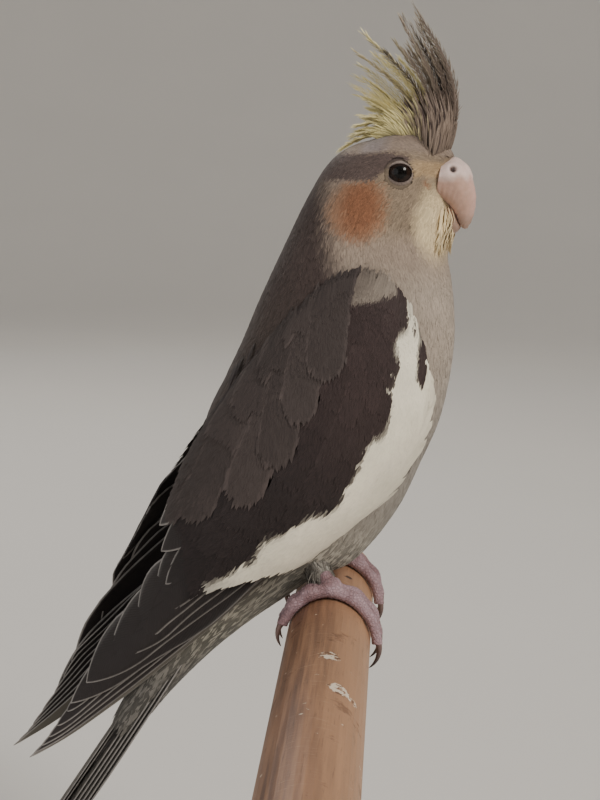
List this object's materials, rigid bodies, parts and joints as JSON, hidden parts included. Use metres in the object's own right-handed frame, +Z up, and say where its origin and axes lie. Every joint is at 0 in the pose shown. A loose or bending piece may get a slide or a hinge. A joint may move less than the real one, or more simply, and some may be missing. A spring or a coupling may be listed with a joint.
{
  "type": "cockatiel",
  "caption": "Life-size still model of a crested grey parrot gripping a cut length of perch, held up by a plain oval stand with round rods.",
  "frame": {"origin": "middle of the oval stand's flat underside, below the middle of the perch", "axes": "+Z up, +X the way the bird's body faces, +Y toward the bird's left, along the perch"},
  "size_m": [0.1843, 0.204, 0.3177],
  "materials": {
    "head": "soft grey-brown feathers, yellow in the crest, orange cheek",
    "neck": "soft grey-brown feathers",
    "torso": "soft grey feathers, barred cream under the tail",
    "wing": "dark brown-grey feathers with a cream-white patch",
    "tail": "dark grey mottled feathers",
    "bill": "horny, dull pinkish grey",
    "eye": "glossy, nearly black",
    "leg": "soft grey feathers",
    "foot": "scaly mauve-pink skin with dark claws",
    "perch_wood": "smooth brown dowel with scratches and chips",
    "stand_rod": "satin",
    "stand_base": "satin dark painted board"
  },
  "bodies": {
    "root": {"head": "head", "neck": "neck", "torso": "torso", "bill_upper": "bill", "bill_lower": "bill", "eye_left": "eye", "eye_right": "eye", "wing_left": "wing", "wing_right": "wing", "tail": "tail", "leg_left": "leg", "leg_right": "leg", "foot_left": "foot", "foot_right": "foot", "perch": "perch_wood", "stand_rod_near": "stand_rod", "stand_rod_far": "stand_rod", "stand_base": "stand_base"}
  },
  "joints": []
}
